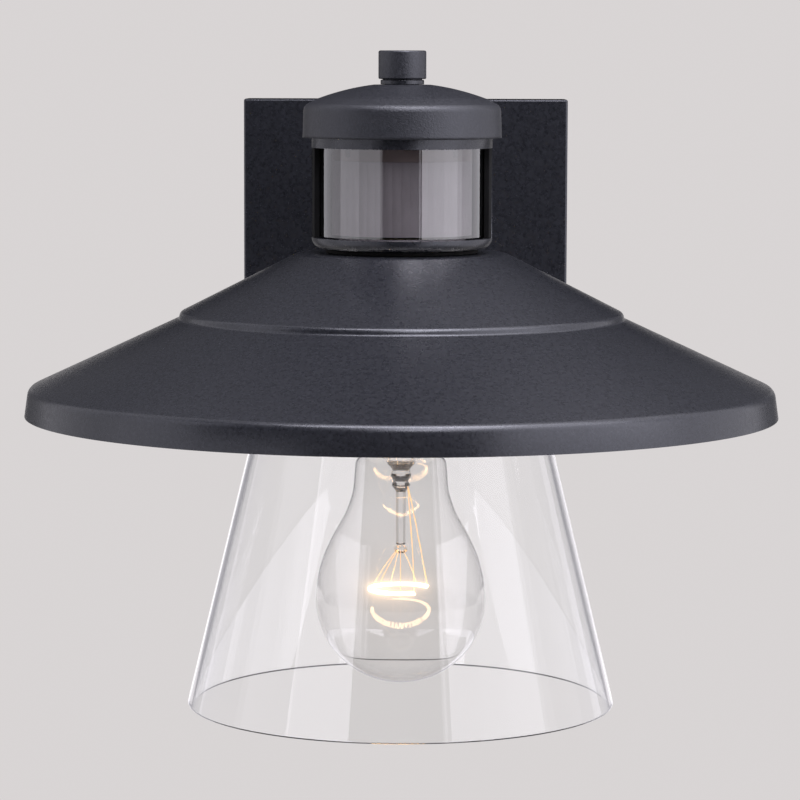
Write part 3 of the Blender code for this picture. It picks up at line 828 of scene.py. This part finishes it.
def make_bulb_base():
    """The screw shell, with a rolled thread."""
    top, bottom, r = BASE_HIGH.z, BASE_LOW.z, BASE_HIGH.x - 0.4
    pitch, depth, steps, rows = 3.6, 0.55, 96, 72
    shape = bmesh.new()
    grid = []
    thread_top, thread_bottom = top - 1.6, bottom + 2.4
    for row in range(rows + 1):
        z = top + (bottom - top) * row / rows
        fade = min(1.0, max(0.0, (thread_top - z) / 1.2), max(0.0, (z - thread_bottom) / 1.2))
        ring = []
        for i in range(steps):
            turn = 2 * math.pi * i / steps
            wave = 0.5 + 0.5 * math.cos(2 * math.pi * (z / pitch) - turn)
            radius = r - depth * wave * fade
            if z > thread_top:
                radius = r - depth - 1.9 * max(0.0, (z - thread_top) / (top - thread_top)) ** 2
            if z < thread_bottom:
                radius = r + 0.4 * (thread_bottom - z) / (thread_bottom - bottom)
            x, y = radius * math.cos(turn), radius * math.sin(turn)
            ring.append(shape.verts.new((x * MM, y * MM, z * MM)))
        grid.append(ring)
    for upper, lower in zip(grid, grid[1:]):
        for i in range(steps):
            j = (i + 1) % steps
            shape.faces.new((upper[i], upper[j], lower[j], lower[i]))
    bmesh.ops.recalc_face_normals(shape, faces=shape.faces)
    base = finish_mesh(shape, "bulb_screw_shell", SLOTS["nickel"])
    wall = base.modifiers.new("Wall", "SOLIDIFY")
    wall.thickness = 0.3 * MM
    wall.offset = -1.0
    belong(base, "bulb", "nickel", "bulb_base")


# ---------------------------------------------------------------- stage, light and camera


def emitting(name, colour, strength):
    material = bpy.data.materials.new(name)
    material.use_nodes = True
    tree = material.node_tree
    tree.nodes.clear()
    light = tree.nodes.new("ShaderNodeEmission")
    light.inputs["Color"].default_value = (*colour, 1.0)
    light.inputs["Strength"].default_value = strength
    out = tree.nodes.new("ShaderNodeOutputMaterial")
    tree.links.new(light.outputs["Emission"], out.inputs["Surface"])
    return material


WALL_COLOUR = (0.69, 0.662, 0.662)
FLOOR_Z = -1.0
LIGHT_COLOUR = (1.0, 0.975, 1.05)
LIGHT_DISTANCE = 1.5
PANEL_REACH = 1.6  # how far an upright panel goes above and below the origin
PANEL_SPLIT = 0.03  # the height that parts low and high panels


def plane(name, width, height, at, rotation, material):
    shape = bmesh.new()
    bmesh.ops.create_grid(shape, x_segments=1, y_segments=1, size=0.5)
    bmesh.ops.scale(shape, vec=(width, height, 1.0), verts=shape.verts)
    obj = finish_mesh(shape, name, material, (0.0, 0.0, 0.0), smooth=False)
    obj.location = at
    obj.rotation_euler = rotation
    return obj


def make_stage():
    backdrop = emitting("backdrop", WALL_COLOUR, 1.0)
    plane("backdrop", 1.8, 1.25, (0.0, 2.6, -0.375), (math.pi / 2, 0.0, 0.0), backdrop)
    floor = Finish("floor")
    floor.colour((0.70, 0.69, 0.68), (0.74, 0.73, 0.72), 2.0)
    floor.sockets(Roughness=0.9)
    level = (0.0, 0.0, 0.0)
    ground = plane("floor", 14.0, 14.0, (0.0, 0.0, FLOOR_Z), level, floor.material)
    ground.visible_glossy = False
    # A card just over the floor, which only reflections see.
    bounce = emitting("bounce", WALL_COLOUR, 0.83)
    card = plane("bounce_card", 2.4, 2.0, (0.0, 0.03, FLOOR_Z + 0.01), level, bounce)
    card.visible_camera = False
    card.visible_transmission = False
    card.visible_diffuse = False
    card.visible_shadow = False


def make_world():
    """Pale to the eye and through glass, and dark in reflections, as in a studio."""
    world = bpy.data.worlds.new("studio")
    world.use_nodes = True
    tree = world.node_tree
    tree.nodes.clear()
    out = tree.nodes.new("ShaderNodeOutputWorld")
    mix = tree.nodes.new("ShaderNodeMixShader")
    rays = tree.nodes.new("ShaderNodeLightPath")
    pale = tree.nodes.new("ShaderNodeBackground")
    pale.inputs["Color"].default_value = (*WALL_COLOUR, 1.0)
    dark = tree.nodes.new("ShaderNodeBackground")
    dark.inputs["Color"].default_value = (0.01, 0.01, 0.011, 1.0)
    tree.links.new(rays.outputs["Is Glossy Ray"], mix.inputs["Fac"])
    tree.links.new(pale.outputs["Background"], mix.inputs[1])
    tree.links.new(dark.outputs["Background"], mix.inputs[2])
    tree.links.new(mix.outputs["Shader"], out.inputs["Surface"])
    bpy.context.scene.world = world


def soft_box(name, azimuth, elevation, distance, width, height, radiance, lift=0.0):
    """An area light that faces the axis. Azimuth 0 is the front, and grows to the right."""
    data = bpy.data.lights.new(name, "AREA")
    data.shape = "RECTANGLE"
    data.size = width
    data.size_y = height
    data.color = LIGHT_COLOUR
    data.energy = radiance * math.pi * width * height
    obj = bpy.data.objects.new(name, data)
    a, e = math.radians(azimuth), math.radians(elevation)
    way = Vector((math.sin(a) * math.cos(e), -math.cos(a) * math.cos(e), math.sin(e)))
    obj.location = Vector((0.0, AXIS_Y * MM, lift)) + way * distance
    obj.rotation_euler = way.to_track_quat("Z", "Y").to_euler()
    obj.visible_camera = False
    obj.visible_transmission = False
    bpy.context.scene.collection.objects.link(obj)
    return obj


def panel(
    name, start, end, radiance, low=-PANEL_REACH, high=PANEL_REACH, distance=LIGHT_DISTANCE
):
    """An upright soft box that fills the azimuths from start to end."""
    width = 2 * distance * math.tan(math.radians((end - start) / 2))
    azimuth, lift = (start + end) / 2, (low + high) / 2
    return soft_box(name, azimuth, 0.0, distance, width, high - low, radiance, lift)


def flagged(name, obj):
    """A light-linking collection that keeps a lamp's light off one object."""
    group = bpy.data.collections.new(name)
    group.objects.link(obj)
    group.collection_objects[0].light_linking.link_state = "EXCLUDE"
    return group


def make_side_panels():
    """Upright panels round the lantern. They reach below the floor, so they don't light it."""
    below = (-PANEL_REACH, PANEL_SPLIT)
    above = (PANEL_SPLIT, PANEL_REACH)
    rows = (
        # name, start, end, radiance, and its heights unless it is whole
        ("left_rear", -162.0, -134.0, 0.14),
        ("left_back", -134.0, -112.0, 0.80),
        ("left_side", -112.0, -92.0, 0.78),
        ("left_main", -92.0, -60.0, 1.3),
        ("left_inner", -60.0, -29.0, 1.03, *below),
        ("left_edge", -29.0, -26.0, 0.55, *below),
        ("right_strip", 24.0, 25.4, 1.2),
        ("right_inner_low", 27.4, 45.0, 1.95, *below),
        ("right_inner_high", 27.4, 45.0, 2.6, *above),
        ("right_middle_low", 45.0, 60.0, 2.12, *below),
        ("right_middle_high", 45.0, 60.0, 2.95, *above),
        ("right_main_low", 60.0, 82.0, 2.3, *below),
        ("right_main_high", 60.0, 82.0, 3.3, *above),
        ("right_turn", 82.0, 90.0, 1.8),
        ("right_side", 90.0, 112.0, 1.36),
        ("right_back", 112.0, 134.0, 1.06),
        ("right_rear", 134.0, 162.0, 0.12),
    )
    no_floor = flagged("flagged_floor", bpy.data.objects["floor"])
    for row in rows:
        panel(*row).light_linking.receiver_collection = no_floor


def make_glass_panels():
    """Soft boxes that only the glass answers, so that its walls read pale on a pale wall.

    They stand just inside the side panels.
    """
    group = bpy.data.collections.new("glass_pieces")
    for name in ("glass_cone", "bulb_envelope", "bulb_stem_glass", "bulb_button"):
        group.objects.link(bpy.data.objects[name])
    rows = (
        ("glass_left_rear", -165.0, -131.0, 0.95),
        ("glass_left_back", -131.0, -97.0, 0.65),
        ("glass_left_main", -97.0, -61.75, 1.0),
        ("glass_left_inner", -61.75, -26.5, 3.9),
        ("glass_right_inner", 23.0, 85.0, 1.15),
        ("glass_right_back", 85.0, 125.0, 0.65),
        ("glass_right_rear", 125.0, 165.0, 1.15),
        ("glass_behind", 165.0, 195.0, 0.5),
    )
    for name, start, end, radiance in rows:
        box = panel(name, start, end, radiance, distance=LIGHT_DISTANCE - 0.05)
        box.light_linking.receiver_collection = group


def make_high_lights():
    """Soft boxes above the camera and over the lantern. The last two leave the plate dark."""
    rows = (
        # name, azimuth, elevation, width, height, radiance
        ("key_left", -8.0, 58.0, 0.4, 0.8, 1.6),
        ("key", 8.0, 58.0, 0.4, 0.8, 4.1),
        ("key_right", 24.0, 58.0, 0.4, 0.8, 4.9),
        ("key_low", 8.0, 38.0, 0.4, 0.5, 9.0),
        ("key_side", 60.0, 58.0, 1.1, 0.8, 4.2),
        ("top_back_right", 120.0, 58.0, 1.1, 0.8, 1.4),
        ("top_back_left", -120.0, 58.0, 1.1, 0.8, 0.7),
        ("hair", 0.0, 76.0, 1.15, 0.45, 10.5),
        ("zenith", 0.0, 89.0, 0.8, 0.8, 1.7),
    )
    no_plate = flagged("flagged_plate", bpy.data.objects["plate_metal"])
    for name, azimuth, elevation, width, height, radiance in rows:
        box = soft_box(name, azimuth, elevation, LIGHT_DISTANCE, width, height, radiance)
        if name in ("hair", "zenith"):
            box.light_linking.receiver_collection = no_plate


def make_camera():
    """The camera stands before the lantern, a little higher, and looks slightly down."""
    data = bpy.data.cameras.new("camera")
    data.sensor_width = 36.0
    data.lens = 148.3
    data.clip_start = 0.05
    camera = bpy.data.objects.new("camera", data)
    camera.location = (0.0116, -1.3303, 0.0785)
    tilt = Matrix.Rotation(math.radians(90.0 - 5.8535), 4, "X")
    yaw = Matrix.Rotation(math.radians(0.594), 4, "Z")
    roll = Matrix.Rotation(math.radians(0.17), 4, "Z")
    camera.rotation_euler = (yaw @ tilt @ roll).to_euler()
    bpy.context.scene.collection.objects.link(camera)
    bpy.context.scene.camera = camera


def make_bloom():
    """The glow that a lens shows round the burning filament."""
    scene = bpy.context.scene
    scene.use_nodes = True
    tree = scene.node_tree
    tree.nodes.clear()
    layers = tree.nodes.new("CompositorNodeRLayers")
    glare = tree.nodes.new("CompositorNodeGlare")
    glare.glare_type = "BLOOM"
    glare.quality = "HIGH"
    glare.inputs["Threshold"].default_value = 2.0
    glare.inputs["Maximum"].default_value = 160.0
    glare.inputs["Clamp"].default_value = True
    glare.inputs["Strength"].default_value = 1.0
    glare.inputs["Size"].default_value = 0.3
    out = tree.nodes.new("CompositorNodeComposite")
    tree.links.new(layers.outputs["Image"], glare.inputs["Image"])
    tree.links.new(glare.outputs["Image"], out.inputs["Image"])


def set_look():
    """Plain colours, a clean picture, and enough bounces for glass within glass."""
    scene = bpy.context.scene
    scene.view_settings.view_transform = "Standard"
    scene.cycles.use_denoising = True
    scene.cycles.max_bounces = 24
    scene.cycles.transmission_bounces = 16
    scene.cycles.glossy_bounces = 8
    scene.cycles.transparent_max_bounces = 16
    scene.cycles.sample_clamp_indirect = 7.0


make_camera()
dress_frame()
make_shade()
make_cap()
make_knob()
make_housing()
make_plate()
make_arm()
make_socket_cup()
make_lens()
make_fresnel()
make_glass()
make_bulb_glass()
make_bulb_stem()
make_filament()
make_bulb_wires()
make_bulb_base()
make_stage()
make_world()
make_side_panels()
make_glass_panels()
make_high_lights()
make_bloom()
set_look()
